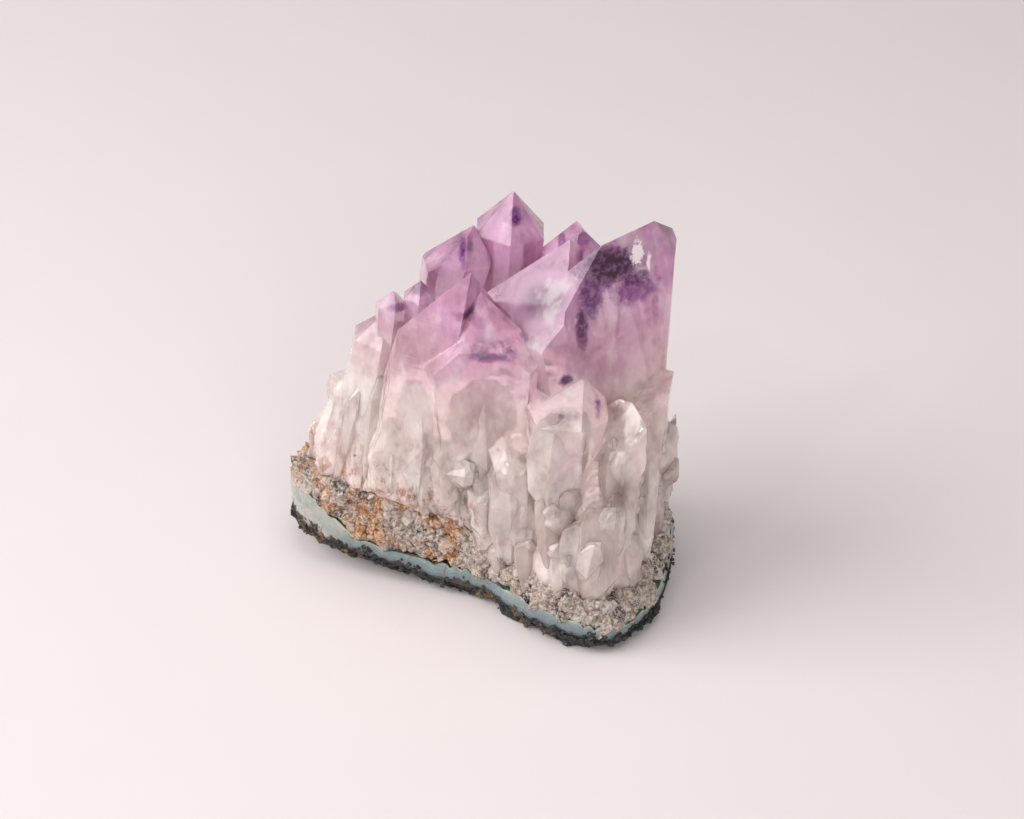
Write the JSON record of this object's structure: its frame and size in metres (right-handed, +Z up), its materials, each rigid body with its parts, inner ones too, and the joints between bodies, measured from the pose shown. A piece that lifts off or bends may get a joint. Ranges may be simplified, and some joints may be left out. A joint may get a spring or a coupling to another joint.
{
  "type": "amethyst cluster",
  "caption": "Palm-sized upright cluster of intergrown quartz points, purple at the tips and milky below, on its own crust of drusy quartz, banded agate and dark basalt.",
  "frame": {"origin": "under the middle of the piece's bounding box, on the surface it rests on", "axes": "+Z up along the crystals, -Y towards the front with the two broad crystals, +X towards the tall crystal's side"},
  "size_m": [0.0718, 0.0536, 0.073],
  "materials": {
    "basalt": "rough broken rock",
    "agate": "smooth waxy band",
    "druse": "sugary fine-grained quartz with rust stains",
    "amethyst": "glassy crystal faces"
  },
  "bodies": {
    "root": {"basalt_crust": "basalt", "agate_band": "agate", "druse_crust": "druse", "amethyst_crystals": "amethyst"}
  },
  "joints": []
}
